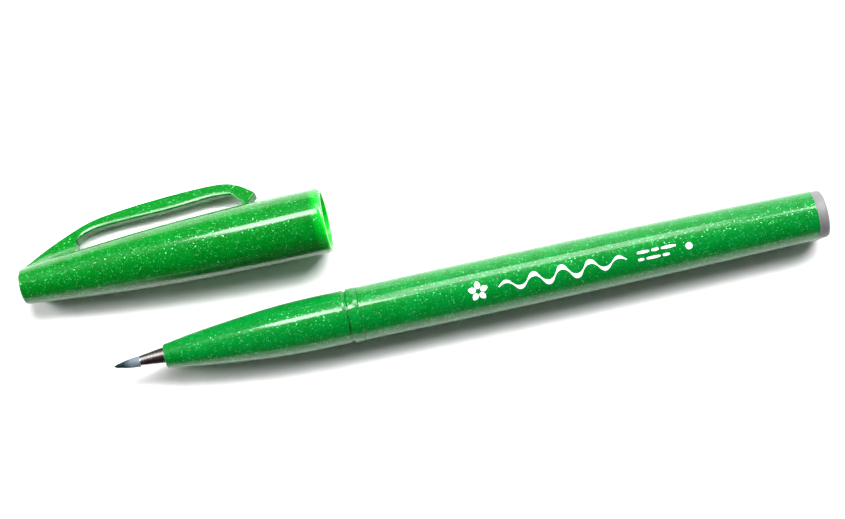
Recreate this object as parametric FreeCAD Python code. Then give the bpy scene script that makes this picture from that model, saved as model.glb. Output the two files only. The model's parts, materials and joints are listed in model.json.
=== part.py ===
import FreeCAD, Part
import math
import os

from FreeCAD import Vector

# Brush pen, shown open: the pen lies on its side along X with its nib towards -X, and its cap
# lies behind it, towards +Y, with its mouth towards +X. Millimetres, +Z up, floor at Z = 0.
#
# Each of the two is modelled on the X axis and then laid on the floor. The pen's own X is
# counted from the nib's point. The cap's own X is counted from its closed end, and its clip
# stands out towards its own +Y.

# ---- driving dimensions: pen -----------------------------------------------------------------
pen_length = 126.4

nib_exposed = 4.7
nib_root_radius = 0.97
nib_point_radius = 0.16
nib_stations = [(0.9, 0.4), (2.2, 0.71), (3.5, 0.9)]
nib_shoulder_length = 0.6
nib_tail_radius = 0.72
nib_tail_end = 37.0

ferrule_mouth_radius = 1.06
ferrule_mouth_bevel = 0.06
ferrule_base_radius = 1.77
ferrule_cone_end = 9.5
ferrule_shank_end = 16.0

section_front = 9.15
section_rim_radius = 2.14
section_rim_rounding = 0.2
section_grip_radius = 4.68
section_stations = [(16.5, 3.21), (22.5, 3.86), (29.5, 4.47), (35.5, 4.67)]
collar_front = 42.0
collar_length = 1.95
collar_radius = 4.83
collar_edge = 0.12
collar_groove_depth = 0.2
collar_groove_width = 0.4
spigot_length = 11.5

barrel_front_radius = 4.74
barrel_belly_radius = 4.85
barrel_belly = 68.0
barrel_end_radius = 4.33
barrel_end = 124.5
barrel_edge = 0.12
barrel_socket_radius = 4.05
barrel_bore_radius = 3.62

sleeve_end = 29.0
sleeve_radius = 1.95
sleeve_flange_radius = 3.1
sleeve_flange_thickness = 1.2

reservoir_start = 29.2
reservoir_end = 110.0
reservoir_radius = 3.2
reservoir_film = 0.16
reservoir_bore_radius = 3.5

plug_radius = 4.16
plug_rounding = 0.5
plug_step_radius = 4.27
plug_step_length = 0.35
plug_wall = 0.75
plug_reach = 14.0

fit_gap = 0.02

# ---- driving dimensions: cap -----------------------------------------------------------------
cap_length = 54.6
cap_end_radius = 3.12
cap_end_rounding = 0.45
cap_stations = [(10.0, 4.08), (20.0, 4.9), (30.0, 5.43), (40.0, 5.7), (48.5, 5.8)]
cap_lip_start_radius = 5.76
cap_lip_radius = 5.42
cap_lip_length = 1.0
cap_bore_radius = 4.87
cap_bore_depth = 20.4
cap_bore_bevel = 0.12
cap_hollow_start = 3.0
cap_hollow_start_radius = 2.35
cap_hollow_end_radius = 4.75

liner_start = 4.2
liner_wall = 0.6
liner_mouth = 33.0
liner_lip_length = 1.0
liner_lip_radius = 3.95

clip_width = 2.3
clip_edge = 0.28
fin_foot = (0.4, 2.95)
fin_back = (5.0, 5.78)
fin_heel = (10.45, 3.6)
fin_gap_top = (10.46, 6.0)
fin_crest = (9.4, 7.98)
clip_outer = [(11.7, 8.98), (14.3, 9.75), (17.7, 10.33), (23.7, 10.95), (30.7, 11.35),
              (35.7, 11.38), (38.1, 11.1), (39.9, 10.45), (41.7, 9.25), (43.2, 7.95)]
clip_inner = [(11.9, 7.45), (13.9, 8.12), (16.7, 8.45), (23.0, 8.68), (30.7, 9.05), (37.3, 9.3)]
clip_inner_corner = (39.0, 9.05)
clip_foot = (41.1, 6.0)

# ---- driving dimensions: how the pen and its cap lie -------------------------------------------
cap_mouth_station = 41.5
cap_spacing = 17.2
cap_tilt = 2.2
clip_roll = 22.6

cap_seat_station = collar_front + collar_length
mesh_step = 0.01


# ---- outlines and turned solids ----------------------------------------------------------------
def point(along, radius):
    """A point of a half outline."""
    return Vector(along, radius, 0)


def line(start, end):
    return Part.LineSegment(point(*start), point(*end)).toShape()


def arc(start, middle, end):
    return Part.Arc(point(*start), point(*middle), point(*end)).toShape()


def corner_arc(start, end, centre):
    """A quarter-round edge between two points, bulging away from its centre."""
    radius = math.hypot(start[0] - centre[0], start[1] - centre[1])
    middle = ((start[0] + end[0]) / 2.0 - centre[0], (start[1] + end[1]) / 2.0 - centre[1])
    scale = radius / math.hypot(*middle)
    return arc(start, (centre[0] + middle[0] * scale, centre[1] + middle[1] * scale), end)


def smooth(stations):
    """A smooth line through (along, radius) stations."""
    curve = Part.BSplineCurve()
    curve.interpolate([point(*station) for station in stations])
    return curve.toShape()


def face_inside(edges):
    return Part.Face(Part.Wire(Part.__sortEdges__(edges)))


def turned(edges):
    """The solid that a closed half outline makes, turned once about the X axis."""
    return face_inside(edges).revolve(Vector(0, 0, 0), Vector(1, 0, 0), 360)


def turned_polygon(*corners):
    """The solid of a half outline with straight sides only."""
    return turned([line(a, b) for a, b in zip(corners, corners[1:] + corners[:1])])


def rod(start, end, radius):
    """A round bar along the X axis."""
    return Part.makeCylinder(radius, end - start, Vector(start, 0, 0), Vector(1, 0, 0))


def tube(start, end, outer_radius, inner_radius):
    return rod(start, end, outer_radius).cut(rod(start, end, inner_radius))


# ---- pen ---------------------------------------------------------------------------------------
def make_brush_nib():
    """Soft nib: a slender bullet point, a shoulder in the ferrule, and a tail into the ink core."""
    shoulder_end = nib_exposed + nib_shoulder_length
    point_start = (nib_point_radius * 0.9, nib_point_radius)
    nose = turned([
        arc((0, 0), (nib_point_radius * 0.2, nib_point_radius * 0.62), point_start),
        smooth([point_start] + nib_stations + [(nib_exposed, nib_root_radius)]),
        line((nib_exposed, nib_root_radius), (shoulder_end, nib_root_radius)),
        line((shoulder_end, nib_root_radius), (shoulder_end, 0)),
        line((shoulder_end, 0), (0, 0)),
    ])
    return nose.fuse(rod(shoulder_end, nib_tail_end, nib_tail_radius)).removeSplitter()


def make_ferrule():
    """Polished cone, pressed into the front section, whose mouth holds the nib's shoulder."""
    counterbore_radius = nib_root_radius + fit_gap
    bore_radius = nib_tail_radius + fit_gap
    counterbore_end = nib_exposed + nib_shoulder_length + fit_gap
    return turned_polygon(
        (nib_exposed, counterbore_radius),
        (nib_exposed, ferrule_mouth_radius - ferrule_mouth_bevel),
        (nib_exposed + ferrule_mouth_bevel, ferrule_mouth_radius),
        (ferrule_cone_end, ferrule_base_radius),
        (ferrule_shank_end, ferrule_base_radius),
        (ferrule_shank_end, bore_radius),
        (counterbore_end, bore_radius),
        (counterbore_end, counterbore_radius),
    )


def make_nib_sleeve():
    """Sleeve that grips the nib's tail, with a flange that meets the section's inner step."""
    start = ferrule_shank_end + fit_gap
    flange_start = sleeve_end - sleeve_flange_thickness
    body = rod(start, sleeve_end, sleeve_radius)
    flange = rod(flange_start, sleeve_end, sleeve_flange_radius)
    bore = rod(start, sleeve_end, nib_tail_radius + fit_gap)
    return body.fuse(flange).cut(bore).removeSplitter()


def section_outline():
    """Outer edges of the front section, from its rim to the end of its spigot."""
    rim_face = section_rim_radius - section_rim_rounding
    rim_start = (section_front, rim_face)
    rim_end = (section_front + section_rim_rounding, section_rim_radius)
    rim_centre = (section_front + section_rim_rounding, rim_face)
    grip_end = (collar_front - collar_groove_width, section_grip_radius)
    groove_radius = section_grip_radius - collar_groove_depth
    collar_end = collar_front + collar_length
    spigot_radius = barrel_socket_radius - fit_gap
    spigot_end = collar_end + spigot_length
    corners = [
        grip_end,
        (collar_front - collar_groove_width, groove_radius),
        (collar_front, groove_radius),
        (collar_front, collar_radius - collar_edge),
        (collar_front + collar_edge, collar_radius),
        (collar_end - collar_edge, collar_radius),
        (collar_end, collar_radius - collar_edge),
        (collar_end, spigot_radius),
        (spigot_end, spigot_radius),
        (spigot_end, reservoir_bore_radius),
    ]
    edges = [corner_arc(rim_start, rim_end, rim_centre)]
    edges.append(smooth([rim_end] + section_stations + [grip_end]))
    edges.extend(line(a, b) for a, b in zip(corners, corners[1:]))
    return edges, rim_start, corners[-1]


def make_front_section():
    """Grip with an ogive outline, a collar ring for the cap, and a spigot for the barrel."""
    outer_edges, first, last = section_outline()
    ferrule_seat = ferrule_base_radius + fit_gap
    sleeve_seat = sleeve_radius + fit_gap
    flange_start = sleeve_end - sleeve_flange_thickness - fit_gap
    corners = [
        last,
        (flange_start, reservoir_bore_radius),
        (flange_start, sleeve_seat),
        (ferrule_shank_end, sleeve_seat),
        (ferrule_shank_end, ferrule_seat),
        (section_front, ferrule_seat),
        first,
    ]
    inner_edges = [line(a, b) for a, b in zip(corners, corners[1:])]
    return turned(outer_edges + inner_edges)


def make_barrel():
    """Rear tube with a long shallow belly, open at both ends."""
    start = cap_seat_station
    socket_end = start + spigot_length + 0.4
    front_top = (start + barrel_edge, barrel_front_radius)
    back_top = (barrel_end - barrel_edge, barrel_end_radius)
    corners = [
        back_top,
        (barrel_end, barrel_end_radius - barrel_edge),
        (barrel_end, barrel_bore_radius),
        (socket_end, barrel_bore_radius),
        (socket_end, barrel_socket_radius),
        (start, barrel_socket_radius),
        (start, barrel_front_radius - barrel_edge),
        front_top,
    ]
    edges = [arc(front_top, (barrel_belly, barrel_belly_radius), back_top)]
    edges.extend(line(a, b) for a, b in zip(corners, corners[1:]))
    return turned(edges)


def make_tail_plug():
    """Plug with a rounded end, a thin step at the joint, and a hollow spigot in the barrel."""
    step_end = barrel_end + plug_step_length
    end_face_radius = plug_radius - plug_rounding
    rounding_start = (pen_length - plug_rounding, plug_radius)
    rounding_end = (pen_length, end_face_radius)
    spigot_radius = barrel_bore_radius - fit_gap
    spigot_start = barrel_end - plug_reach
    hollow_radius = spigot_radius - plug_wall
    corners = [
        rounding_end,
        (pen_length, 0),
        (barrel_end, 0),
        (barrel_end, hollow_radius),
        (spigot_start, hollow_radius),
        (spigot_start, spigot_radius),
        (barrel_end, spigot_radius),
        (barrel_end, plug_step_radius),
        (step_end, plug_step_radius),
        (step_end, plug_radius),
        rounding_start,
    ]
    centre = (pen_length - plug_rounding, end_face_radius)
    edges = [corner_arc(rounding_start, rounding_end, centre)]
    edges.extend(line(a, b) for a, b in zip(corners, corners[1:]))
    return turned(edges)


def make_ink_reservoir():
    """Round fibre core with a socket for the nib's tail."""
    core = rod(reservoir_start, reservoir_end, reservoir_radius - fit_gap)
    socket = rod(reservoir_start, nib_tail_end + fit_gap, nib_tail_radius + fit_gap)
    return core.cut(socket)


def make_reservoir_film():
    """Thin plastic film round the fibre core, open at both ends."""
    outer_radius = reservoir_radius + reservoir_film
    return tube(reservoir_start, reservoir_end, outer_radius, reservoir_radius)


# ---- cap ---------------------------------------------------------------------------------------
def hollow_radius_at(along):
    """Radius of the cap's tapered hollow, which holds the liner."""
    end = cap_length - cap_bore_depth
    slope = (cap_hollow_end_radius - cap_hollow_start_radius) / (end - cap_hollow_start)
    return cap_hollow_start_radius + slope * (along - cap_hollow_start)


def make_cap_tube():
    """Ogive tube, closed at one end, with a rounded lip and a straight bore at its mouth."""
    end_face_radius = cap_end_radius - cap_end_rounding
    lip_start = (cap_length - cap_lip_length, cap_lip_start_radius)
    lip_middle = (cap_length - 0.3 * cap_lip_length, 0.35 * cap_lip_radius + 0.65 * cap_lip_start_radius)
    bore_start = cap_length - cap_bore_depth
    rounding_end = (cap_end_rounding, cap_end_radius)
    corners = [
        (cap_length, cap_lip_radius),
        (cap_length, cap_bore_radius + cap_bore_bevel),
        (cap_length - cap_bore_bevel, cap_bore_radius),
        (bore_start, cap_bore_radius),
        (bore_start, cap_hollow_end_radius),
        (cap_hollow_start, cap_hollow_start_radius),
        (cap_hollow_start, 0),
        (0, 0),
        (0, end_face_radius),
    ]
    edges = [
        corner_arc((0, end_face_radius), rounding_end, (cap_end_rounding, end_face_radius)),
        smooth([rounding_end] + cap_stations + [lip_start]),
        arc(lip_start, lip_middle, corners[0]),
    ]
    edges.extend(line(a, b) for a, b in zip(corners, corners[1:]))
    return turned(edges)


def blade(edges):
    """A flat outline in the clip's plane, given the clip's width."""
    face = face_inside(edges)
    face.translate(Vector(0, 0, -clip_width / 2.0))
    return face.extrude(Vector(0, 0, clip_width))


def on_line(edge, start, end):
    """Whether an edge of a blade lies on the straight line between two outline points."""
    middle = edge.CenterOfMass
    off_x = abs(middle.x - (start[0] + end[0]) / 2.0)
    off_y = abs(middle.y - (start[1] + end[1]) / 2.0)
    return off_x < mesh_step and off_y < mesh_step


def bevelled(solid, sharp_lines):
    """A blade with its long edges bevelled on both flanks, apart from the given sharp lines."""
    chosen = []
    for edge in solid.Edges:
        box = edge.BoundBox
        flat = box.ZMax - box.ZMin < mesh_step
        if flat and not any(on_line(edge, start, end) for start, end in sharp_lines):
            chosen.append(edge)
    return solid.makeChamfer(clip_edge, chosen)


def make_fin():
    """Fin that rises from the closed end of the cap to the root of the clip."""
    corners = [fin_crest, fin_gap_top, fin_heel, fin_foot]
    edges = [arc(fin_foot, fin_back, fin_crest)]
    edges.extend(line(a, b) for a, b in zip(corners, corners[1:]))
    return bevelled(blade(edges), [(fin_crest, fin_gap_top), (fin_heel, fin_foot)])


def make_cap_shell():
    return make_cap_tube().fuse(make_fin()).removeSplitter()


def make_clip():
    """Clip arm: it leaves the fin, bends along the cap, and ends in a slanted hook."""
    root_top = (fin_crest[0] + fit_gap, fin_crest[1] + fit_gap / 2.0)
    root_bottom = (fin_gap_top[0] + fit_gap, fin_gap_top[1] + fit_gap / 2.0)
    tip = clip_outer[-1]
    edges = [
        smooth([root_top] + clip_outer),
        line(tip, clip_foot),
        line(clip_foot, clip_inner_corner),
        smooth([clip_inner_corner] + clip_inner[::-1] + [root_bottom]),
        line(root_bottom, root_top),
    ]
    return bevelled(blade(edges), [(root_bottom, root_top)])


def make_inner_cap():
    """Liner with a tapered wall and a lip that closes round the grip."""
    lip_start = liner_mouth - liner_lip_length
    wall = liner_wall + fit_gap
    floor_end = liner_start + liner_wall
    return turned_polygon(
        (liner_start, 0),
        (liner_start, hollow_radius_at(liner_start) - fit_gap),
        (liner_mouth, hollow_radius_at(liner_mouth) - fit_gap),
        (liner_mouth, liner_lip_radius),
        (lip_start, liner_lip_radius),
        (lip_start - liner_wall, hollow_radius_at(lip_start - liner_wall) - wall),
        (floor_end, hollow_radius_at(floor_end) - wall),
        (floor_end, 0),
    )


# ---- laying the pen and its cap down -------------------------------------------------------------
def mesh_points(shapes):
    return [vertex for shape in shapes for vertex in shape.tessellate(mesh_step)[0]]


def lay_cap_down(cap):
    """Roll the clip down to the floor, tilt the cap on its belly, and set its mouth in place."""
    for shape in cap.values():
        shape.rotate(Vector(0, 0, 0), Vector(1, 0, 0), -clip_roll)
        shape.rotate(Vector(0, 0, 0), Vector(0, 1, 0), -cap_tilt)
    lowest = min(vertex.z for vertex in mesh_points(cap.values()))
    mouth_reach = cap_length * math.cos(math.radians(cap_tilt))
    move = Vector(cap_mouth_station - mouth_reach, cap_spacing, -lowest)
    for shape in cap.values():
        shape.translate(move)
    return move


def lay_pen_down(pen):
    for shape in pen.values():
        shape.translate(Vector(0, 0, barrel_belly_radius))


def centre_over_origin(shapes):
    vertices = mesh_points(shapes.values())
    middle_x = (min(v.x for v in vertices) + max(v.x for v in vertices)) / 2.0
    middle_y = (min(v.y for v in vertices) + max(v.y for v in vertices)) / 2.0
    for shape in shapes.values():
        shape.translate(Vector(-middle_x, -middle_y, 0))
    return Vector(-middle_x, -middle_y, 0)


def make_pen():
    return {
        "brush_nib": make_brush_nib(),
        "ferrule": make_ferrule(),
        "nib_sleeve": make_nib_sleeve(),
        "front_section": make_front_section(),
        "barrel": make_barrel(),
        "tail_plug": make_tail_plug(),
        "ink_reservoir": make_ink_reservoir(),
        "reservoir_film": make_reservoir_film(),
    }


def make_cap():
    return {
        "cap_shell": make_cap_shell(),
        "inner_cap": make_inner_cap(),
        "clip": make_clip(),
    }


pen = make_pen()
cap = make_cap()
lay_pen_down(pen)
cap_move = lay_cap_down(cap)
parts = {**pen, **cap}
centre_move = centre_over_origin(parts)

os.makedirs("parts", exist_ok=True)
for name, shape in parts.items():
    shape.exportStep("parts/" + name + ".step")
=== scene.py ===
import json
import math

import bpy
import numpy as np
from mathutils import Matrix, Vector
from mathutils.bvhtree import BVHTree


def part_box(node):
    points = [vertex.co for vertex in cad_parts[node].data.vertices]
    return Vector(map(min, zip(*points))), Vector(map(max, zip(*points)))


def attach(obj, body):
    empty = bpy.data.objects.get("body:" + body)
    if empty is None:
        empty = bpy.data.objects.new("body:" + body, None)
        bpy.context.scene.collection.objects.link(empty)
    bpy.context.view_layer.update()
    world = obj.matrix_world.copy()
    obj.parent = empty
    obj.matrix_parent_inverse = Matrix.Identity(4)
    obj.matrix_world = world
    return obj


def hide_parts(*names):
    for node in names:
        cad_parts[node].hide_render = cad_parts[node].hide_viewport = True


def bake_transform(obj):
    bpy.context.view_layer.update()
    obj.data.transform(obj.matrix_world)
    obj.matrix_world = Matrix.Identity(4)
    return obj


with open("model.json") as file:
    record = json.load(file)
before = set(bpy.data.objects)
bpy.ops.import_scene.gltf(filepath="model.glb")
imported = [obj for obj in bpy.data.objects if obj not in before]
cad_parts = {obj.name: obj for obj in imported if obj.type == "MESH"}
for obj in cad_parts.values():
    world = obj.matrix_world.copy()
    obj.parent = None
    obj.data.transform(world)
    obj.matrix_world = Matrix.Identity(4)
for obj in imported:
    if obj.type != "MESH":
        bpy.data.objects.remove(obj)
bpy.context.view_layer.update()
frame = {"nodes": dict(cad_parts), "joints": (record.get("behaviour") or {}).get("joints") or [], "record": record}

# Lengths are in millimetres along the pen or its cap, unless a name says otherwise.
MM = 0.001

# ---- camera and light -------------------------------------------------------------------------
CAMERA_TARGET = (-0.21, -4.57, 4.0)
CAMERA_DISTANCE = 330.0
CAMERA_AZIMUTH = 0.1
CAMERA_ELEVATION = 84.0
CAMERA_ROLL = 12.33
CAMERA_LENS = 80.4

FLOOR_SIZE = 6.0
LIGHT_CENTRE = Vector((0.0, 0.0, 0.004))

# ---- shapes -------------------------------------------------------------------------------------
TURN_SEGMENTS = 176
RING_STEP = 0.55
PROBE_REACH = 30.0
SHARP_ANGLE = 34.0

NIB_SHOULDER_LENGTH = 0.6
NIB_TAIL_RADIUS = 0.72
NIB_TAIL_LENGTH = 31.7
FERRULE_SHANK = 6.5
FERRULE_MOUTH_BORE = 0.97
FERRULE_MOUTH_DEPTH = 0.62
FERRULE_BORE = 0.74
FERRULE_EDGE = 0.07
FERRULE_SWELL = 0.03
RIM_ROUNDING = 0.2
COLLAR_LENGTH = 1.95
COLLAR_EDGE = 0.1
GROOVE_WIDTH = 0.4
GROOVE_DEPTH = 0.2
SECTION_EDGE = 0.07
SECTION_BORE_EDGE = 0.08
SECTION_BORE_LENGTH = 19.0
SPIGOT_LENGTH = 11.5
BARREL_EDGE = 0.1
SOCKET_CLEARANCE = 0.4
PLUG_ROUNDING = 0.62
PLUG_STEP = 0.35
PLUG_REACH = 14.0
PLUG_WALL = 0.75
PLUG_STEP_EDGE = 0.06
PLUG_DOMING = 0.015

CAP_END_ROUNDING = 0.5
CAP_END_DOMING = 0.012
CAP_LIP_LENGTH = 1.0
# Depth from the mouth over which the lip's end takes the brighter inside green, a painted glow of light through
# the wall.
PAINTED_LIP_GLOW = 0.45
CAP_LIP_EDGE = 0.12
CAP_BORE_DEPTH = 20.4
CAP_FLOOR = 3.0
HOLLOW_MOUTH_RADIUS = 4.75
HOLLOW_FLOOR_RADIUS = 2.35
# Painted glow: the cap's outside turns a brighter green near its mouth, standing in for light through the thin
# wall; it comes in between these distances from the mouth.
PAINTED_RIM_GLOW_START = 2.2
PAINTED_RIM_GLOW_END = 0.6
FIN_TOE = (0.4, 2.95)
FIN_EDGE = 0.34
FIN_FILLET = 2.0
CLIP_EDGE = 0.3
CLIP_CORNER_STEP = 15
CLIP_SIDE_CLEARANCE = 0.04
CLIP_TIP_ROUNDING = 0.25
CLIP_ROOT_REACH = 20.0
CLIP_ROOT_HEIGHT = 6.2
SHOULDER_WIDTH = 0.55
SHOULDER_OVERHANG = 0.4
SHOULDER_FALL = 6.0

# Printed marks: places along the barrel, and their line's place round it from the top.
PRINT_THICKNESS = 0.012
PRINT_LINE = -0.95
PETALS_AT = 64.6
PETAL_REACH = (0.45, 1.75)
PETAL_HALF_WIDTH = 0.5
WAVE_START = 68.2
WAVE_LENGTH = 22.4
WAVE_TURNS = 4.5
WAVE_HEIGHT = 1.05
DASHES_START = 92.6
DASH_ROWS = ((2.1, 1.2, 2.6), (1.0, 2.4, 1.2))
DASH_ROW_OFFSET = 0.62
DASH_HALF_WIDTH = 0.24
DASH_GAP = 0.45
DOT_AT = 101.6
DOT_RADIUS = 0.6


# ---- reading the frame --------------------------------------------------------------------------
def placing(origin, along, up):
    """Matrix from a local frame in mm, X along the turned axis, to the row frame in metres."""
    side = along.cross(up)
    columns = [along * MM, up * MM, side * MM, origin]
    rows = [[column[i] for column in columns] for i in range(3)]
    return Matrix(rows + [[0.0, 0.0, 0.0, 1.0]])


def pen_placing():
    low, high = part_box("barrel")
    centre = (low + high) / 2
    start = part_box("brush_nib")[0].x
    return placing(Vector((start, centre.y, centre.z)), Vector((1, 0, 0)), Vector((0, 1, 0)))


def cap_placing():
    mouth = next(m for m in frame["record"]["mounts"] if m["name"] == "cap_mouth")
    flex = next(j for j in frame["joints"] if j["name"] == "clip_flex")
    along = Vector(mouth["axis"]).normalized()
    side = Vector(flex["axis"]).normalized()
    up = side.cross(along).normalized()
    centre = Vector(mouth["pos_m"])
    closed_end = min(v.co.dot(along) for v in frame["nodes"]["cap_shell"].data.vertices)
    return placing(centre + along * (closed_end - centre.dot(along)), along, up)


def local_tree(name, place):
    """A search tree of one CAD node, in the local frame."""
    back = place.inverted()
    mesh = frame["nodes"][name].data
    points = [back @ v.co for v in mesh.vertices]
    return BVHTree.FromPolygons(points, [tuple(p.vertices) for p in mesh.polygons])


def radial(angle):
    return Vector((0.0, math.cos(angle), math.sin(angle)))


def outer_radius(tree, along, angles):
    """Mean radius of a turned solid's outside at one station."""
    found = []
    for angle in angles:
        start = Vector((along, 0, 0)) + radial(angle) * PROBE_REACH
        hit = tree.ray_cast(start, -radial(angle))
        if hit[0] is not None:
            found.append(PROBE_REACH - hit[3])
    return float(np.mean(found))


def inner_radius(tree, along, angles):
    """Mean radius of a turned solid's bore at one station."""
    found = [tree.ray_cast(Vector((along, 0, 0)), radial(angle))[3] for angle in angles]
    return float(np.mean([value for value in found if value is not None]))


def height_above(tree, along):
    """Outermost point of a solid in the clip's plane, on the clip's side."""
    return PROBE_REACH - tree.ray_cast(Vector((along, PROBE_REACH, 0)), Vector((0, -1, 0)))[3]


def smooth_curve(stations, values):
    """Natural cubic curve through the given values; returns a function of station."""
    x = np.array(stations, float)
    y = np.array(values, float)
    count = len(x)
    step = np.diff(x)
    slope = np.diff(y) / step
    system = np.eye(count)
    right = np.zeros(count)
    for i in range(1, count - 1):
        system[i, i - 1] = step[i - 1]
        system[i, i] = 2 * (step[i - 1] + step[i])
        system[i, i + 1] = step[i]
        right[i] = 6 * (slope[i] - slope[i - 1])
    bend = np.linalg.solve(system, right)

    def value_at(station):
        i = int(np.clip(np.searchsorted(x, station) - 1, 0, count - 2))
        a = (x[i + 1] - station) / step[i]
        b = 1 - a
        curved = (a ** 3 - a) * bend[i] + (b ** 3 - b) * bend[i + 1]
        return float(a * y[i] + b * y[i + 1] + curved * step[i] ** 2 / 6)

    return value_at


def stations_between(start, end, step=RING_STEP):
    """Evenly spread stations from start to end, about one step apart."""
    return list(np.linspace(start, end, max(2, int(round((end - start) / step)) + 1)))


def corner_arc(centre, radius, start_angle, end_angle, steps=5):
    """Points of an arc in a half outline, angles in degrees from the along direction."""
    points = []
    for angle in np.radians(np.linspace(start_angle, end_angle, steps + 1)):
        points.append((centre[0] + radius * math.cos(angle), centre[1] + radius * math.sin(angle)))
    return points


# ---- meshes -------------------------------------------------------------------------------------
def new_piece(name, points, faces, place, sharp_angle=SHARP_ANGLE):
    mesh = bpy.data.meshes.new(name)
    mesh.from_pydata([place @ Vector(p) for p in points], [], faces)
    mesh.validate()
    mesh.shade_smooth()
    mesh.set_sharp_from_angle(angle=math.radians(sharp_angle))
    piece = bpy.data.objects.new(name, mesh)
    bpy.context.scene.collection.objects.link(piece)
    return piece


def bridge(first, second):
    """Quads between two rings of point numbers of the same length."""
    count = len(first)
    faces = []
    for i in range(count):
        j = (i + 1) % count
        faces.append((first[i], first[j], second[j], second[i]))
    return faces


def fan(ring, pole, flip):
    faces = []
    for i in range(len(ring)):
        j = (i + 1) % len(ring)
        faces.append((ring[j], ring[i], pole) if flip else (ring[i], ring[j], pole))
    return faces


def ring_mesh(rings, loop):
    """Points and faces of a skin over rings; a ring of one point is a pole."""
    points = []
    numbers = []
    for ring in rings:
        numbers.append(list(range(len(points), len(points) + len(ring))))
        points.extend(ring)
    faces = []
    pairs = list(zip(numbers, numbers[1:]))
    if loop:
        pairs.append((numbers[-1], numbers[0]))
    for first, second in pairs:
        if len(first) == 1 and len(second) == 1:
            continue
        if len(first) == 1:
            faces.extend(fan(second, first[0], False))
        elif len(second) == 1:
            faces.extend(fan(first, second[0], True))
        else:
            faces.extend(bridge(second, first))
    return points, faces


def turned_rings(outline, segments):
    rings = []
    for along, radius in outline:
        if radius < 1e-6:
            rings.append([(along, 0.0, 0.0)])
            continue
        ring = []
        for i in range(segments):
            angle = 2 * math.pi * i / segments
            ring.append((along, radius * math.cos(angle), radius * math.sin(angle)))
        rings.append(ring)
    return rings


def turned_piece(name, outline, place, loop=True, segments=TURN_SEGMENTS):
    """A body turned about the local X axis from a half outline that runs from front to back
    on the outside and returns on the inside."""
    points, faces = ring_mesh(turned_rings(outline, segments), loop)
    return new_piece(name, points, faces, place)


# ---- pen pieces ---------------------------------------------------------------------------------
PROBE_ANGLES = [math.radians(angle) for angle in range(0, 360, 15)]


def make_nib(place):
    """The soft nib with its blunt point, and its tail inside the pen."""
    tree = local_tree("brush_nib", place)
    mouth = (place.inverted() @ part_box("ferrule")[0]).x
    stations = [0.25, 1.0, 2.0, 3.0, 3.9, mouth]
    radii = [outer_radius(tree, s, PROBE_ANGLES) for s in stations]
    curve = smooth_curve([0.0] + stations, [0.0] + radii)
    blunt = radii[0] * 0.8
    outline = [(0.0, 0.0)]
    for angle in (20, 40, 60):
        turn = math.radians(angle)
        outline.append((blunt * (1 - math.cos(turn)), blunt * math.sin(turn) * 0.92))
    outline += [(s, curve(s)) for s in stations_between(0.25, mouth, 0.15)]
    shoulder = mouth + NIB_SHOULDER_LENGTH
    end = mouth + NIB_TAIL_LENGTH
    outline += [(shoulder, radii[-1]), (shoulder, NIB_TAIL_RADIUS), (end, NIB_TAIL_RADIUS), (end, 0.0)]
    return turned_piece("nib_skin", outline, place, loop=False, segments=72)


def make_ferrule(place):
    """The cone, slightly swollen, with a rounded mouth and its shank inside the grip."""
    tree = local_tree("ferrule", place)
    back = place.inverted()
    mouth = (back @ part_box("ferrule")[0]).x
    end = (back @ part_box("ferrule")[1]).x
    cone_end = end - FERRULE_SHANK
    mouth_radius = outer_radius(tree, mouth + 0.1, PROBE_ANGLES)
    base_radius = outer_radius(tree, cone_end + 0.5, PROBE_ANGLES)
    edge = FERRULE_EDGE
    lip = corner_arc((mouth + edge, mouth_radius - edge), edge, 180, 98, 5)
    cone = []
    for share in np.linspace(0.03, 1.0, 12):
        swell = FERRULE_SWELL * math.sin(math.pi * share)
        cone.append((mouth + share * (cone_end - mouth),
                     mouth_radius + share * (base_radius - mouth_radius) + swell))
    seat = mouth + FERRULE_MOUTH_DEPTH
    outline = [(mouth, FERRULE_MOUTH_BORE)] + lip + cone
    outline += [(end, base_radius), (end, FERRULE_BORE), (seat, FERRULE_BORE), (seat, FERRULE_MOUTH_BORE)]
    return turned_piece("ferrule_cone", outline, place, segments=96)


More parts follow.
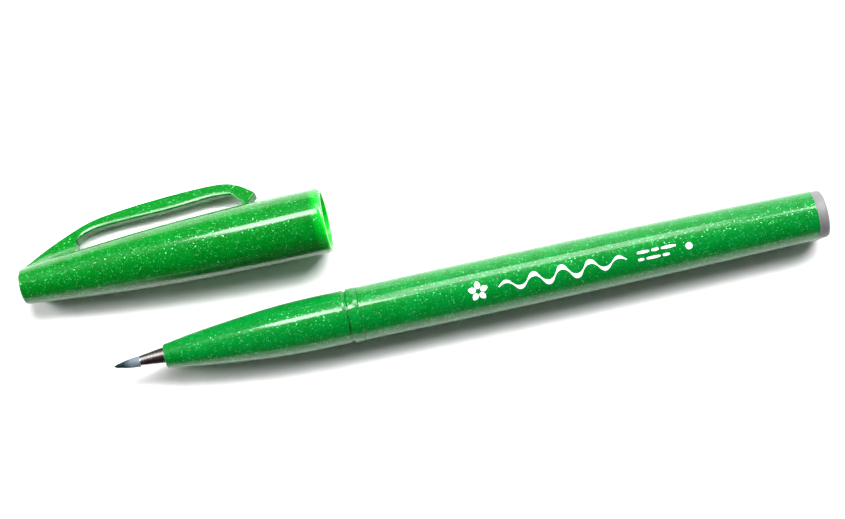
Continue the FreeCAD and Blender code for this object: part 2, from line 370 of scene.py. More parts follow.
def make_section(place):
    """The grip with its rim, the groove and the collar ring, and the hidden spigot."""
    tree = local_tree("front_section", place)
    back = place.inverted()
    front = (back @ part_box("front_section")[0]).x
    collar_end = (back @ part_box("barrel")[0]).x
    collar_front = collar_end - COLLAR_LENGTH
    grip_end = collar_front - GROOVE_WIDTH
    stations = [front + 0.3, front + 3.4, 16.5, 21.0, 26.0, 31.0, 35.5, 38.5, grip_end - 0.05]
    radii = [outer_radius(tree, s, PROBE_ANGLES) for s in stations]
    curve = smooth_curve(stations, radii)
    rim = curve(front + RIM_ROUNDING)
    grip = curve(grip_end)
    collar = outer_radius(tree, collar_front + COLLAR_LENGTH / 2, PROBE_ANGLES)
    bore = inner_radius(tree, front + 1.0, PROBE_ANGLES)
    spigot = outer_radius(tree, collar_end + 4.0, PROBE_ANGLES)
    spigot_end = collar_end + SPIGOT_LENGTH
    hollow = inner_radius(tree, spigot_end - 1.0, PROBE_ANGLES)
    bore_end = front + SECTION_BORE_LENGTH
    groove = grip - GROOVE_DEPTH
    soft = SECTION_EDGE
    outline = [(front + SECTION_BORE_EDGE, bore), (front, bore + SECTION_BORE_EDGE)]
    outline += corner_arc((front + RIM_ROUNDING, rim - RIM_ROUNDING), RIM_ROUNDING, 180, 100)
    outline += [(s, curve(s)) for s in stations_between(front + 0.3, grip_end - soft)]
    outline += corner_arc((grip_end - soft, grip - soft), soft, 70, 0, 3)
    outline += [(grip_end, groove + soft)]
    outline += corner_arc((grip_end + soft, groove + soft), soft, 200, 270, 2)
    outline += corner_arc((collar_front - soft, groove + soft), soft, 270, 340, 2)
    edge = COLLAR_EDGE
    outline += corner_arc((collar_front + edge, collar - edge), edge, 180, 90)
    outline += corner_arc((collar_end - edge, collar - edge), edge, 90, 0)
    outline += [(collar_end, spigot), (spigot_end, spigot), (spigot_end, hollow)]
    outline += [(bore_end, hollow), (bore_end, bore)]
    return turned_piece("grip_skin", outline, place)


def make_barrel(place):
    """The rear tube and its socket; also returns its outside radius as a function."""
    tree = local_tree("barrel", place)
    back = place.inverted()
    start = (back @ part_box("barrel")[0]).x
    end = (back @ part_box("barrel")[1]).x
    stations = list(np.linspace(start + 0.3, end - 0.3, 7))
    curve = smooth_curve(stations, [outer_radius(tree, s, PROBE_ANGLES) for s in stations])
    bore = inner_radius(tree, end - 1.0, PROBE_ANGLES)
    socket = inner_radius(tree, start + 4.0, PROBE_ANGLES)
    socket_end = start + SPIGOT_LENGTH + SOCKET_CLEARANCE
    edge = BARREL_EDGE
    outline = corner_arc((start + edge, curve(start) - edge), edge, 180, 95)
    outline += [(s, curve(s)) for s in stations_between(start + 2 * edge, end - 2 * edge, 0.8)]
    outline += corner_arc((end - edge, curve(end) - edge), edge, 85, 0)
    outline += [(end, bore), (socket_end, bore), (socket_end, socket), (start, socket)]
    return turned_piece("barrel_skin", outline, place), curve


def make_plug(place):
    """End plug with a rounded face, and the thin ring that shows at the joint."""
    tree = local_tree("tail_plug", place)
    back = place.inverted()
    joint = (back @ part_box("barrel")[1]).x
    end = (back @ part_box("tail_plug")[1]).x
    step_end = joint + PLUG_STEP
    body = outer_radius(tree, step_end + 0.4, PROBE_ANGLES)
    ring = outer_radius(tree, joint + PLUG_STEP / 2, PROBE_ANGLES)
    spigot = outer_radius(tree, joint - 5.0, PROBE_ANGLES)
    inside = spigot - PLUG_WALL
    soft = PLUG_ROUNDING
    edge = PLUG_STEP_EDGE
    outline = [(joint - PLUG_REACH, inside), (joint - PLUG_REACH, spigot), (joint, spigot)]
    outline += corner_arc((joint + edge, ring - edge), edge, 180, 90, 3)
    outline += corner_arc((step_end - edge, ring - edge), edge, 90, 0, 3)
    outline += [(step_end, body)]
    outline += corner_arc((end - soft, body - soft), soft, 90, 6, 8)
    for share in (0.75, 0.5, 0.25):
        outline.append((end - PLUG_DOMING * share ** 2, (body - soft) * share))
    outline += [(end, 0.0), (joint, 0.0), (joint, inside)]
    return turned_piece("plug_skin", outline, place)


# ---- cap pieces ---------------------------------------------------------------------------------
def cap_angles():
    """Directions round the cap, close together near the fin; angle 0 is the fin's direction."""
    fine = list(np.arange(0.0, 18.0, 0.3))
    middle = list(np.arange(18.0, 44.0, 0.9))
    coarse = list(np.linspace(44.0, 180.0, 56))
    half = fine + middle + coarse
    return np.radians(np.array(half + [-angle for angle in half[-2:0:-1]]))


def blade_distance(y, z, height, half_width, edge):
    """Signed distance to the fin's section: a bar with rounded top corners."""
    across = np.abs(z) - (half_width - edge)
    above = y - (height - edge)
    outside = np.hypot(np.maximum(across, 0), np.maximum(above, 0))
    return np.maximum(outside + np.minimum(np.maximum(across, above), 0) - edge, -y)


def finned_radii(angles, radius, height, half_width):
    """Radius in each direction of a round tube that runs smoothly into its fin."""
    low = np.full(len(angles), radius)
    high = np.full(len(angles), radius + PROBE_REACH)
    rise = height - radius
    if rise <= 0:
        return low
    fillet = FIN_FILLET * min(1.0, 0.12 + rise / 2.6)
    edge = min(FIN_EDGE, 0.1 + 0.3 * rise)
    for _ in range(44):
        middle = (low + high) / 2
        tube = middle - radius
        blade = blade_distance(middle * np.cos(angles), middle * np.sin(angles),
                               height, half_width, edge)
        mixed = np.maximum(fillet - np.abs(tube - blade), 0) / fillet
        joined = np.minimum(tube, blade) - mixed ** 2 * fillet / 4
        inside = joined < 0
        low = np.where(inside, middle, low)
        high = np.where(inside, high, middle)
    return (low + high) / 2


def polar_ring(along, radii, angles):
    return [(along, r * math.cos(a), r * math.sin(a)) for r, a in zip(radii, angles)]


def clip_sizes(place):
    """Half width of the clip and the station where it leaves the cap's fin."""
    back = place.inverted()
    points = [back @ v.co for v in frame["nodes"]["clip"].data.vertices]
    half_width = max(p.z for p in points) - CLIP_SIDE_CLEARANCE
    root = max(p.x for p in points if p.y < CLIP_ROOT_HEIGHT and p.x < CLIP_ROOT_REACH)
    return half_width, root


def make_cap_skin(place, top_of_fin, half_width, root):
    """The tube and its fin in one skin, with the bore; also returns its radius and length."""
    tree = local_tree("cap_shell", place)
    back = place.inverted()
    angles = cap_angles()
    away = [math.radians(angle) for angle in range(100, 261, 10)]
    length = max((back @ v.co).x for v in frame["nodes"]["cap_shell"].data.vertices)
    lip_start = length - CAP_LIP_LENGTH
    stations = [0.6, 4.0, 8.0, 13.0, 20.0, 27.0, 34.0, 41.0, 47.5, lip_start]
    curve = smooth_curve(stations, [outer_radius(tree, s, away) for s in stations])
    bore = inner_radius(tree, length - 2.0, away)
    lip_radius = outer_radius(tree, length - 0.02, away)
    bore_start = length - CAP_BORE_DEPTH
    edge = CAP_LIP_EDGE
    soft = CAP_END_ROUNDING

    rings = [[(0.0, 0.0, 0.0)]]
    plain = np.ones(len(angles))
    face = curve(soft) - soft
    for share in (0.35, 0.7, 0.9):
        rings.append(polar_ring(CAP_END_DOMING * share ** 2, plain * face * share, angles))
    for along, radius in corner_arc((soft, face), soft, 180, 100, 6):
        rings.append(polar_ring(along + CAP_END_DOMING * (1 - along / soft), plain * radius, angles))
    for along in stations_between(soft, root, 0.2):
        radii = finned_radii(angles, curve(along), top_of_fin(along), half_width)
        rings.append(polar_ring(along, radii, angles))
    for along in stations_between(root + 0.004, lip_start):
        rings.append(polar_ring(along, plain * curve(along), angles))
    drop = curve(lip_start) - lip_radius
    for share in (0.2, 0.4, 0.6, 0.75, 0.88, 0.97):
        fall = drop * (1 - math.sqrt(max(0.0, 1 - share ** 2)))
        radii = plain * (curve(lip_start) - fall)
        rings.append(polar_ring(lip_start + CAP_LIP_LENGTH * share, radii, angles))
    inside = [(length, lip_radius - 0.1), (length, bore + edge)]
    inside += corner_arc((length - edge, bore + edge), edge, 300, 270, 2)
    inside += [(bore_start, bore), (bore_start, HOLLOW_MOUTH_RADIUS), (CAP_FLOOR, HOLLOW_FLOOR_RADIUS)]
    for along, radius in inside:
        rings.append(polar_ring(along, plain * radius, angles))
    rings.append([(CAP_FLOOR, 0.0, 0.0)])
    points, faces = ring_mesh(rings, False)
    return new_piece("cap_skin", points, faces, place), curve, length


def clip_ring(outer, inner, half_width, shoulder, shrink, shift):
    """Section of the clip between an outer and an inner outline point. Its corners are round, and
    its upper flank falls away a little over the shoulder before it turns to the inner side."""
    outer = Vector((outer[0], outer[1], 0))
    inner = Vector((inner[0], inner[1], 0))
    up = (outer - inner).normalized()
    forward = Vector((up.y, -up.x, 0))
    centre = (outer + inner) / 2 + forward * shift
    half_height = (outer - inner).length / 2 - shrink
    width = half_width - shrink
    corner = max(CLIP_EDGE - shrink, 0.02)
    across = Vector((0, 0, 1))
    fall = math.radians(SHOULDER_FALL) * shoulder
    knee = SHOULDER_WIDTH
    drop = (knee + SHOULDER_OVERHANG * shoulder) * math.tan(fall)
    ring = []
    for quarter in range(4):
        sign_up = 1 if quarter in (0, 1) else -1
        sign_side = 1 if quarter in (0, 3) else -1
        middle = centre + up * sign_up * (half_height - corner)
        middle += across * sign_side * (width - corner)
        sweep = CLIP_CORNER_STEP
        if quarter == 3:
            middle -= up * SHOULDER_OVERHANG * shoulder
            middle -= across * drop
            sweep -= math.degrees(fall) / 6
        for step in range(7):
            turn = math.radians(90 * quarter + sweep * step)
            ring.append(tuple(middle + up * corner * math.sin(turn) + across * corner * math.cos(turn)))
    for offset, share in ((-0.12, 1.0), (-0.04, 0.75), (0.04, 0.3), (0.12, 0.0)):
        height = knee + offset
        sunk = math.tan(fall) * abs(offset) * share * 0.8
        ring.append(tuple(centre + up * (height - half_height) + across * (width - sunk)))
    return ring


def make_clip_skin(place, top_of_fin, half_width, root):
    """The clip's arm, from the end of the fin to the slanted face of its hook."""
    tree = local_tree("clip", place)
    back = place.inverted()
    points = [back @ v.co for v in frame["nodes"]["clip"].data.vertices]
    tip = max(points, key=lambda p: p.x)
    foot = min((p for p in points if p.x > tip.x - 6.0), key=lambda p: p.y)
    arm_end = foot.x - 2.1

    def under(along):
        hit = tree.ray_cast(Vector((along, 0, 0)), Vector((0, 1, 0)))
        return hit[3]

    outer_stations = [root + 0.6, 12.5, 14.5, 17.5, 21.5, 26.0, 30.5, 34.5, 36.8, 38.6, 40.2, 41.7, tip.x]
    outer_heights = [height_above(tree, s) for s in outer_stations[:-1]] + [tip.y]
    outer = smooth_curve([root] + outer_stations, [top_of_fin(root)] + outer_heights)
    inner_stations = [root + 0.12, 11.1, 11.9, 13.0, 15.0, 18.0, 22.0, 26.5, 31.0, 35.0, 37.6, arm_end - 0.05]
    inner = smooth_curve(inner_stations, [under(s) for s in inner_stations])
    corner = (arm_end, inner(arm_end))

    def shoulder_at(along):
        rising = min(1.0, max(0.0, (along - root) / 4.0))
        falling = min(1.0, max(0.0, (tip.x - 0.4 - along) / 3.5))
        return math.sin(math.pi / 2 * rising) * math.sin(math.pi / 2 * falling)

    pairs = []
    knots_outer = [root, 11.6, 13.4, 16.4, 24.0, 31.0, 36.2, 39.6]
    knots_inner = [root, 10.9, 12.3, 15.2, 22.9, 30.2, 35.0, arm_end]
    for share in np.linspace(0, 1, 90):
        knot = share * (len(knots_outer) - 1)
        x_outer = float(np.interp(knot, range(len(knots_outer)), knots_outer))
        x_inner = float(np.interp(knot, range(len(knots_inner)), knots_inner))
        pairs.append(((x_outer, outer(x_outer)), (x_inner, inner(max(x_inner, root + 0.12)))))
    for share in np.linspace(0.04, 1, 18):
        x_outer = knots_outer[-1] + share * (tip.x - knots_outer[-1])
        x_inner = corner[0] + share * (foot.x - corner[0])
        y_inner = corner[1] + share * (foot.y - corner[1])
        pairs.append(((x_outer, outer(x_outer)), (x_inner, y_inner)))
    rings = [clip_ring(a, b, half_width, shoulder_at(a[0]), 0.0, 0.0) for a, b in pairs[:-1]]
    last_outer, last_inner = pairs[-1]
    soft = CLIP_TIP_ROUNDING
    for turn in np.radians((0, 25, 50, 70, 90)):
        shrink = soft * (1 - math.cos(turn))
        shift = soft * (math.sin(turn) - 1)
        rings.append(clip_ring(last_outer, last_inner, half_width, 0.0, shrink, shift))
    points, faces = ring_mesh(rings, False)
    count = len(rings[-1])
    faces.append(tuple(range(len(points) - count, len(points))))
    faces.append(tuple(reversed(range(count))))
    return new_piece("clip_skin", points, faces, place)


# ---- printed marks ------------------------------------------------------------------------------
def wrapped(curve, along, across, lift):
    """Point on the barrel at a distance along it and an arc length across it from its top."""
    radius = curve(along)
    angle = across / radius
    return (along, (radius + lift) * math.sin(angle), (radius + lift) * math.cos(angle))


def stroke(points, faces, curve, path, widths, across_steps=6):
    """A painted band along a path of (along, across) points, with its own half widths."""
    path = np.array(path, float)
    tangent = np.gradient(path, axis=0)
    tangent /= np.linalg.norm(tangent, axis=1)[:, None]
    normal = np.stack([-tangent[:, 1], tangent[:, 0]], 1)
    rings = []
    for spot, side, width in zip(path, normal, widths):
        top = []
        bottom = []
        for share in np.linspace(-1, 1, across_steps + 1):
            x, t = spot + side * share * max(width, 0.01)
            top.append(wrapped(curve, x, t, PRINT_THICKNESS))
            bottom.append(wrapped(curve, x, t, -PRINT_THICKNESS))
        rings.append(top + bottom[::-1])
    first = len(points)
    size = len(rings[0])
    for ring in rings:
        points.extend(ring)
    for k in range(len(rings) - 1):
        a = list(range(first + k * size, first + (k + 1) * size))
        b = list(range(first + (k + 1) * size, first + (k + 2) * size))
        faces.extend(bridge(b, a))
    faces.append(tuple(range(first, first + size))[::-1])
    faces.append(tuple(range(first + (len(rings) - 1) * size, first + len(rings) * size)))


def make_print(place, curve):
    """White marks that show what a brush can do: petals, a swelling wave, dashes and a dot."""
    points = []
    faces = []
    for petal in range(5):
        turn = math.radians(72 * petal + 18)
        path = []
        for reach in np.linspace(PETAL_REACH[0], PETAL_REACH[1], 12):
            path.append((PETALS_AT + reach * math.cos(turn), PRINT_LINE + reach * math.sin(turn)))
        widths = PETAL_HALF_WIDTH * np.sin(np.linspace(0.12, 1, 12) * math.pi * 0.97) ** 0.8
        stroke(points, faces, curve, path, widths)

    share = np.linspace(0, 1, 150)
    turns = share * 2 * math.pi * WAVE_TURNS
    wave = WAVE_HEIGHT * np.sin(turns) * (0.55 + 0.45 * np.sin(share * math.pi))
    path = np.stack([WAVE_START + WAVE_LENGTH * share, PRINT_LINE + wave], 1)
    widths = 0.1 + 0.34 * (0.5 - 0.5 * np.cos(2 * turns)) * np.sin(share * math.pi) ** 0.4
    stroke(points, faces, curve, path, widths)

    for row, lengths in enumerate(DASH_ROWS):
        along = DASHES_START
        across = PRINT_LINE + DASH_ROW_OFFSET * (1 - 2 * row)
        for length in lengths:
            path = [(along + length * k, across) for k in np.linspace(0, 1, 10)]
            widths = DASH_HALF_WIDTH * np.sin(np.linspace(0.1, 0.95, 10) * math.pi) ** 0.35
            stroke(points, faces, curve, path, widths)
            along += length + DASH_GAP

    dot = np.linspace(-DOT_RADIUS, DOT_RADIUS, 19)
    widths = DOT_RADIUS * np.sqrt(np.maximum(1 - (dot / DOT_RADIUS) ** 2, 0.0))
    stroke(points, faces, curve, [(DOT_AT + k, PRINT_LINE) for k in dot], widths)
    return new_piece("print_marks", points, faces, place, 60.0)


# ---- materials ----------------------------------------------------------------------------------
class Graph:
    """Short forms for building a material's nodes."""

    def __init__(self, name):
        self.material = bpy.data.materials.new(name)
        self.material.use_nodes = True
        self.tree = self.material.node_tree
        self.shader = self.tree.nodes["Principled BSDF"]
        self.object_point = self.add("TexCoord").outputs["Object"]

    def add(self, kind, inputs=None, **settings):
        made = self.tree.nodes.new("ShaderNode" + kind)
        for key, value in settings.items():
            setattr(made, key, value)
        for key, value in (inputs or {}).items():
            self.put(made, key, value)
        return made

    def put(self, target, key, value):
        if isinstance(value, bpy.types.NodeSocket):
            self.tree.links.new(value, target.inputs[key])
        else:
            target.inputs[key].default_value = value

    def set(self, **values):
        for key, value in values.items():
            self.put(self.shader, key.replace("_", " "), value)

    def math(self, operation, a, b=0.0, c=0.0, clamp=False):
        made = self.add("Math", {0: a, 1: b, 2: c}, operation=operation, use_clamp=clamp)
        return made.outputs[0]

    def vector(self, operation, a, b=(0, 0, 0), scale=None):
        made = self.add("VectorMath", {0: a, 1: b}, operation=operation)
        if scale is not None:
            self.put(made, "Scale", scale)
        return made.outputs["Value" if operation == "DOT_PRODUCT" else "Vector"]

    def mix(self, factor, a, b):
        made = self.add("Mix", data_type="RGBA")
        self.put(made, 0, factor)
        self.put(made, 6, a)
        self.put(made, 7, b)
        return made.outputs[2]

    def ramp(self, factor, stops, smooth=True):
        made = self.add("ValToRGB", {0: factor})
        made.color_ramp.interpolation = "EASE" if smooth else "LINEAR"
        elements = made.color_ramp.elements
        while len(elements) < len(stops):
            elements.new(0.5)
        for element, (position, colour) in zip(elements, stops):
            element.position = position
            element.color = colour
        return made.outputs[0]

    def noise(self, scale_per_mm, detail=3.0, roughness=0.5, stretch=(1, 1, 1)):
        """Noise with features of about 1 / scale mm."""
        scaled = self.vector("MULTIPLY", self.object_point, [1000 * s for s in stretch])
        inputs = {"Vector": scaled, "Scale": scale_per_mm, "Detail": detail, "Roughness": roughness}
        return self.add("TexNoise", inputs).outputs["Fac"]

    def span(self, value, low, high, out_low=0.0, out_high=1.0):
        made = self.add("MapRange", {0: value, 1: low, 2: high, 3: out_low, 4: out_high})
        return made.outputs[0]

    def bump(self, height, distance_mm, strength=1.0):
        inputs = {"Height": height, "Distance": distance_mm * MM, "Strength": strength}
        return self.add("Bump", inputs).outputs[0]


def flake_layer(graph, cell_mm, share, offset):
    """Mask and random tilt of flat flakes, one in a share of the cells."""
    moved = graph.vector("ADD", graph.object_point, (offset, offset * 0.7, -offset))
    scaled = graph.vector("SCALE", moved, scale=1000.0)
    cells = graph.add("TexVoronoi", {"Vector": scaled, "Scale": 1.0 / cell_mm}, voronoi_dimensions="3D")
    chance = graph.add("SeparateColor", {0: cells.outputs["Color"]})
    mask = graph.math("LESS_THAN", chance.outputs[2], share)
    tilt = graph.vector("SUBTRACT", cells.outputs["Color"], (0.5, 0.5, share / 2))
    return mask, tilt, chance.outputs[0]


def green(linear_r, linear_g, linear_b):
    return (linear_r, linear_g, linear_b, 1.0)


FINE_SHARE = 0.42
BIG_SHARE = FINE_SHARE * 0.12
FINE_TONE = green(0.0, 0.28, 0.03)
BIG_TONES = (green(0.01, 0.32, 0.08), green(0.13, 0.48, 0.17))


def pearl_plastic(name, deep, glow, rim=None):
    """Glossy green plastic: pigment with fine flat flakes under a clear smooth skin."""
    graph = Graph(name)
    big_mask, big_tilt, big_chance = flake_layer(graph, 0.15, BIG_SHARE, 0.011)
    fine_mask, fine_tilt, _ = flake_layer(graph, 0.12, FINE_SHARE, 0.037)
    cloud = graph.span(graph.noise(0.35, 3.0), 0.35, 0.65)
    pigment = graph.mix(cloud, deep, glow)
    # Near a rim the pigment fades to a brighter green: painted glow of light through the thin wall, not the
    # plastic's own colour.
    if rim is not None:
        axis, start, end, tone = rim
        along = graph.vector("DOT_PRODUCT", graph.object_point, tuple(axis))
        painted_glow_share = graph.span(along, start, end)
        pigment = graph.mix(painted_glow_share, pigment, tone)
    tone_shift = graph.mix(big_chance, BIG_TONES[0], BIG_TONES[1])
    fine_colour = graph.mix(graph.math("MULTIPLY", fine_mask, 0.3), pigment, FINE_TONE)
    colour = graph.mix(big_mask, fine_colour, tone_shift)
    fine_metal = graph.math("MULTIPLY", fine_mask, 0.05)
    metal = graph.math("MAXIMUM", fine_metal, graph.math("MULTIPLY", big_mask, 0.45))
    surface = graph.add("NewGeometry").outputs["Normal"]
    fine_lean = graph.vector("SCALE", fine_tilt, scale=graph.math("MULTIPLY", fine_mask, 0.3))
    big_lean = graph.vector("SCALE", big_tilt, scale=graph.math("MULTIPLY", big_mask, 0.36))
    leaning = graph.vector("ADD", surface, graph.vector("ADD", fine_lean, big_lean))
    normal = graph.vector("NORMALIZE", leaning)
    ripple = graph.bump(graph.noise(0.22, 2.0), 0.02, 0.35)
    graph.set(Base_Color=colour, Metallic=metal, Roughness=graph.span(big_mask, 0, 1, 0.38, 0.24))
    graph.set(Normal=normal, Coat_Weight=1.0, Coat_Roughness=0.13, Coat_IOR=1.34, Coat_Normal=ripple)
    graph.set(Specular_IOR_Level=0.05)
    return graph.material


def nib_material():
    """Soft nib: dark with ink at its point, paler and more translucent towards the cone."""
    graph = Graph("nib_soft")
    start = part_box("brush_nib")[0].x
    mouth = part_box("ferrule")[0].x
    x = graph.add("SeparateXYZ", {0: graph.object_point}).outputs[0]
    wander = graph.math("MULTIPLY", graph.math("SUBTRACT", graph.noise(2.2, 3.0), 0.5), 0.0007)
    share = graph.span(graph.math("ADD", x, wander), start, mouth)
    stops = [(0.0, (0.001, 0.008, 0.004, 1)), (0.36, (0.003, 0.014, 0.012, 1)),
             (0.5, (0.04, 0.06, 0.07, 1)), (0.7, (0.1, 0.13, 0.155, 1)), (1.0, (0.13, 0.16, 0.185, 1))]
    fibre = graph.noise(9.0, 2.0, 0.5, (0.12, 1, 1))
    graph.set(Base_Color=graph.ramp(share, stops), Roughness=0.34, Normal=graph.bump(fibre, 0.01, 0.5))
    graph.set(Subsurface_Weight=0.25, Subsurface_Radius=(0.0004, 0.0005, 0.0005))
    graph.set(Specular_IOR_Level=0.15)
    return graph.material


def metal_material():
    """Plated cone with faint turning lines."""
    graph = Graph("plated_cone")
    lines = graph.noise(14.0, 1.0, 0.5, (1, 0.02, 0.02))
    tarnish = graph.span(graph.noise(0.9, 3.0), 0.3, 0.7, 0.16, 0.24)
    graph.set(Base_Color=(0.68, 0.6, 0.6, 1), Metallic=1.0, Roughness=tarnish)
    graph.set(Normal=graph.bump(lines, 0.003, 0.3))
    return graph.material


def plug_material():
    """Matt grey plastic with a fine spark-eroded grain."""
    graph = Graph("plug_grey")
    cloud = graph.span(graph.noise(0.6, 3.0), 0.3, 0.7)
    colour = graph.mix(cloud, (0.12, 0.117, 0.12, 1), (0.15, 0.146, 0.15, 1))
    grain = graph.noise(7.0, 4.0, 0.65)
    graph.set(Base_Color=colour, Roughness=graph.span(grain, 0.3, 0.7, 0.42, 0.6))
    graph.set(Normal=graph.bump(grain, 0.02, 0.6))
    return graph.material


def print_material():
    """White pad print, a little uneven in its cover."""
    graph = Graph("print_white")
    cover = graph.span(graph.noise(3.5, 4.0, 0.7), 0.3, 0.62)
    colour = graph.mix(cover, (0.78, 0.86, 0.8, 1), (0.93, 0.95, 0.93, 1))
    graph.set(Base_Color=colour, Roughness=0.36, Normal=graph.bump(graph.noise(5.0, 3.0), 0.008, 0.5))
    return graph.material


def plain_moulded(name, tone, darker, roughness, translucent=0.0):
    """Plain moulded plastic with a soft mottle and a faint grain."""
    graph = Graph(name)
    cloud = graph.span(graph.noise(0.5, 3.0), 0.3, 0.7)
    graph.set(Base_Color=graph.mix(cloud, darker, tone))
    grain = graph.noise(5.0, 3.0)
    graph.set(Roughness=graph.span(grain, 0.3, 0.7, roughness, roughness + 0.12))
    graph.set(Normal=graph.bump(grain, 0.008, 0.4))
    if translucent > 0:
        graph.set(Subsurface_Weight=translucent, Subsurface_Radius=(0.0004, 0.0012, 0.0006))
    return graph.material


def painted_glow_inside_material():
    """The cap's thin wall seen from inside: real subsurface scattering, but its base green is far brighter than
    the outside, a painted glow of light through the wall.
    """
    graph = Graph("cap_inside_painted_glow")
    cloud = graph.span(graph.noise(0.6, 3.0), 0.3, 0.7)
    graph.set(Base_Color=graph.mix(cloud, (0.0, 0.5, 0.012, 1), (0.004, 0.6, 0.02, 1)))
    graph.set(Subsurface_Weight=1.0, Subsurface_Radius=(0.0002, 0.0016, 0.0003))
    graph.set(Roughness=graph.span(cloud, 0, 1, 0.25, 0.35), Coat_Weight=0.6, Coat_Roughness=0.15)
    return graph.material


def paint_inside(piece, place, curve, length, material):
    """The faces of a hollow skin's bore and lip get their own material."""
    piece.data.materials.append(material)
    back = place.inverted()
    for face in piece.data.polygons:
        middle = back @ face.center
        radius = math.hypot(middle.y, middle.z)
        in_bore = middle.x > CAP_FLOOR - 0.1 and radius < curve(min(middle.x, length - CAP_LIP_LENGTH)) - 0.3
        # The bore and the lip's end take the brighter inside green, its painted glow.
        if in_bore or middle.x > length - PAINTED_LIP_GLOW:
            face.material_index = 1


def fibre_material():
    """Bonded fibres along the ink core, soaked unevenly."""
    graph = Graph("ink_core")
    threads = graph.noise(6.0, 4.0, 0.6, (0.05, 1, 1))
    soak = graph.noise(0.2, 3.0)
    wet = graph.mix(graph.span(soak, 0.3, 0.7), (0.006, 0.07, 0.03, 1), (0.02, 0.2, 0.09, 1))
    graph.set(Base_Color=graph.mix(graph.span(threads, 0.35, 0.75), wet, (0.1, 0.4, 0.2, 1)))
    graph.set(Roughness=0.8, Normal=graph.bump(threads, 0.04, 0.8), Sheen_Weight=0.2)
    return graph.material


def floor_material():
    graph = Graph("floor_white")
    cloud = graph.span(graph.noise(0.02, 2.0), 0.3, 0.7)
    graph.set(Base_Color=graph.mix(cloud, (0.83, 0.83, 0.83, 1), (0.85, 0.85, 0.85, 1)))
    graph.set(Roughness=0.9, Specular_IOR_Level=0.1)
    return graph.material


def paint(obj, material):
    """Put a material on a piece, or on a CAD node that stays in view."""
    if not obj.material_slots:
        obj.data.materials.append(material)
    for material_slot in obj.material_slots:
        material_slot.material = material


# ---- stage --------------------------------------------------------------------------------------
def make_camera():
    azimuth = math.radians(CAMERA_AZIMUTH)
    elevation = math.radians(CAMERA_ELEVATION)
    roll = math.radians(CAMERA_ROLL)
    back = Vector((math.sin(azimuth) * math.cos(elevation),
                   -math.cos(azimuth) * math.cos(elevation), math.sin(elevation)))
    right = Vector((math.cos(azimuth), math.sin(azimuth), 0))
    up = back.cross(right)
    rolled_right = right * math.cos(roll) - up * math.sin(roll)
    rolled_up = right * math.sin(roll) + up * math.cos(roll)
    data = bpy.data.cameras.new("camera")
    data.lens = CAMERA_LENS
    data.sensor_width = 36.0
    data.clip_start = 0.01
    data.clip_end = 50.0
    camera = bpy.data.objects.new("camera", data)
    bpy.context.scene.collection.objects.link(camera)
    place = Vector(CAMERA_TARGET) * MM + back * CAMERA_DISTANCE * MM
    columns = [rolled_right, rolled_up, back, place]
    rows = [[column[i] for column in columns] for i in range(3)]
    camera.matrix_world = Matrix(rows + [[0, 0, 0, 1]])
    bpy.context.scene.camera = camera


def make_floor():
    half = FLOOR_SIZE / 2
    mesh = bpy.data.meshes.new("floor")
    mesh.from_pydata([(-half, -half, 0), (half, -half, 0), (half, half, 0), (-half, half, 0)], [],
                     [(0, 1, 2, 3)])
    floor = bpy.data.objects.new("floor", mesh)
    bpy.context.scene.collection.objects.link(floor)
    floor.location.z = -0.00001
    paint(floor, floor_material())


def softbox(name, offset, elevation, distance, width, height, radiance):
    """Area light behind the object: offset is sideways in metres, and it faces the object."""
    rise = math.radians(elevation)
    place = LIGHT_CENTRE + Vector((offset, distance * math.cos(rise), distance * math.sin(rise)))
    data = bpy.data.lights.new(name, "AREA")
    data.shape = "RECTANGLE"
    data.size = width
    data.size_y = height
    data.energy = radiance * math.pi * width * height
    light = bpy.data.objects.new(name, data)
    bpy.context.scene.collection.objects.link(light)
    light.location = place
    light.rotation_mode = "QUATERNION"
    light.rotation_quaternion = (LIGHT_CENTRE - place).to_track_quat("-Z", "Y")


def make_world():
    """Pale near the horizon and dark higher up, as in a room with white card round a table."""
    world = bpy.data.worlds.new("surroundings")
    world.use_nodes = True
    tree = world.node_tree
    point = tree.nodes.new("ShaderNodeTexCoord")
    split = tree.nodes.new("ShaderNodeSeparateXYZ")
    ramp = tree.nodes.new("ShaderNodeValToRGB")
    tree.links.new(point.outputs["Generated"], split.inputs[0])
    tree.links.new(split.outputs[2], ramp.inputs[0])
    tree.links.new(ramp.outputs[0], tree.nodes["Background"].inputs["Color"])
    ramp.color_ramp.interpolation = "EASE"
    ramp.color_ramp.elements[0].position = 0.14
    ramp.color_ramp.elements[0].color = (0.14, 0.14, 0.14, 1)
    ramp.color_ramp.elements[1].position = 0.36
    ramp.color_ramp.elements[1].color = (0.006, 0.006, 0.006, 1)
    bpy.context.scene.world = world


def make_lights():
    """Two lights for the streaks, two wings that light the floor, and cards that fill and reflect.
    Each line gives sideways offset, elevation, distance, width, height and radiance."""
    softbox("key", -0.068, 60.3, 0.35, 0.095, 0.09, 36)
    softbox("left_card", -0.62, 48, 1.1, 0.5, 0.95, 0.8)
    softbox("key_right", 0.11, 43, 1.2, 0.32, 0.5, 13)
    softbox("wing_left", -1.35, 61, 1.1, 0.6, 0.5, 27)
    softbox("wing_right", 0.68, 59, 1.1, 0.7, 0.5, 26)
    softbox("back_card", 0.72, 15, 1.5, 1.7, 0.7, 1.6)
    softbox("side_left", -1.3, 90, 0.7, 0.6, 0.5, 2.5)
    softbox("side_right", 1.3, 90, 0.7, 0.6, 0.5, 2.5)


# ---- the object ---------------------------------------------------------------------------------
def finish_piece(piece, body, node, material):
    paint(piece, material)
    if body is not None:
        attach(piece, body)
    if node is not None:
        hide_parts(node)


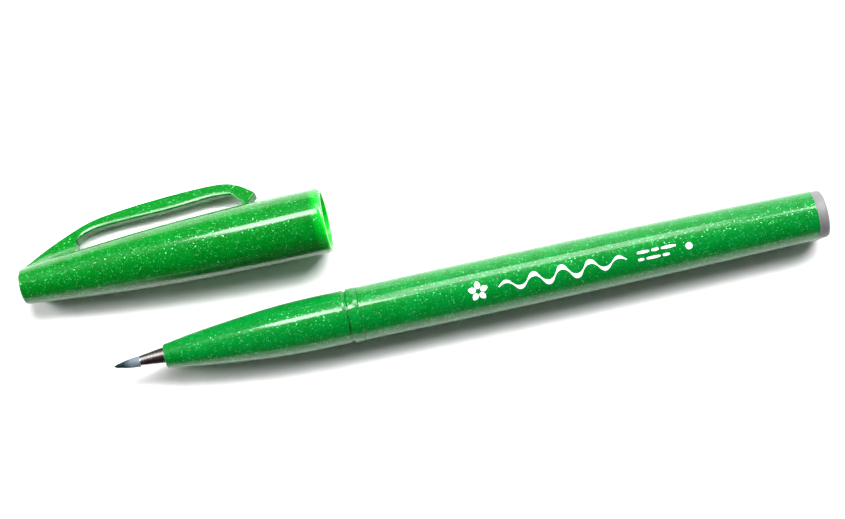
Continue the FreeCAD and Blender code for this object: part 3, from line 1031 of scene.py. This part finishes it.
def make_pen():
    place = pen_placing()
    shell = pearl_plastic("green_pearl", green(0.0, 0.105, 0.01), green(0.0, 0.128, 0.016))
    barrel, curve = make_barrel(place)
    finish_piece(barrel, "pen", "barrel", shell)
    finish_piece(make_section(place), "pen", "front_section", shell)
    finish_piece(make_ferrule(place), "pen", "ferrule", metal_material())
    finish_piece(make_plug(place), "pen", "tail_plug", plug_material())
    finish_piece(make_print(place, curve), "pen", None, print_material())
    nib = make_nib(place)
    finish_piece(nib, None, "brush_nib", nib_material())
    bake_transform(nib)


def make_cap():
    place = cap_placing()
    half_width, root = clip_sizes(place)
    cap_tree = local_tree("cap_shell", place)
    clip_tree = local_tree("clip", place)
    fin = [0.9, 2.2, 3.6, 5.0, 6.4, 7.8, 9.0]
    arm = [root, root + 1.4]
    heights = [height_above(cap_tree, s) for s in fin] + [height_above(clip_tree, s) for s in arm]
    top_of_fin = smooth_curve([FIN_TOE[0]] + fin + arm, [FIN_TOE[1]] + heights)
    body, curve, length = make_cap_skin(place, top_of_fin, half_width, root)

    axis = place.to_3x3() @ Vector((1, 0, 0)) / MM
    mouth = (place @ Vector((length, 0, 0))).dot(axis)
    # The brighter green near the mouth is painted glow, standing in for light that comes through the thin wall.
    rim = (axis, mouth - PAINTED_RIM_GLOW_START * MM, mouth - PAINTED_RIM_GLOW_END * MM, green(0.0, 0.34, 0.012))
    skin = pearl_plastic("cap_pearl", green(0.0, 0.092, 0.003), green(0.0, 0.115, 0.006), rim=rim)
    finish_piece(body, "cap", "cap_shell", skin)
    # Inside and lip get a brighter green, painted as glow of light through the wall.
    paint_inside(body, place, curve, length, painted_glow_inside_material())

    clip = make_clip_skin(place, top_of_fin, half_width, root)
    finish_piece(clip, None, "clip", skin)
    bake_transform(clip)


def paint_inner_nodes():
    nodes = frame["nodes"]
    sleeve = plain_moulded("sleeve_white", (0.86, 0.86, 0.84, 1), (0.8, 0.8, 0.78, 1), 0.4)
    film = plain_moulded("film_clear", (0.8, 0.83, 0.83, 1), (0.7, 0.74, 0.74, 1), 0.15)
    liner = plain_moulded("liner_green", green(0.02, 0.42, 0.12), green(0.01, 0.34, 0.1), 0.25, 0.2)
    paint(nodes["nib_sleeve"], sleeve)
    paint(nodes["reservoir_film"], film)
    paint(nodes["inner_cap"], liner)
    paint(nodes["ink_reservoir"], fibre_material())


make_camera()
make_floor()
make_world()
make_lights()
make_pen()
make_cap()
paint_inner_nodes()
bpy.context.scene.view_settings.view_transform = "Standard"
